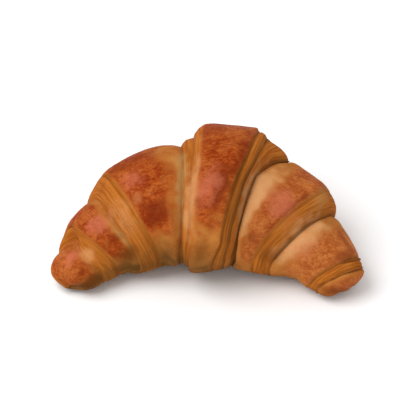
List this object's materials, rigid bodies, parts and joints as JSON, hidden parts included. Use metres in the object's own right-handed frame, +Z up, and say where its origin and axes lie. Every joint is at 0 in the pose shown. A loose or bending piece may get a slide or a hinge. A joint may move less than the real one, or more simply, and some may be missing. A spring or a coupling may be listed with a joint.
{
  "type": "croissant",
  "caption": "Butter croissant: a rolled, layered dough crescent with stepped turns, a glazed brown crust and two blunt horns, lying on its flat base.",
  "frame": {"origin": "middle of the bounding box, on the flat base", "axes": "+X from the left horn to the right horn, +Y away from the horns, over the outside of the bend, +Z up from the base"},
  "size_m": [0.1498, 0.0866, 0.0613],
  "materials": {
    "crust": "satin"
  },
  "bodies": {
    "root": {"croissant": "crust"}
  },
  "joints": []
}
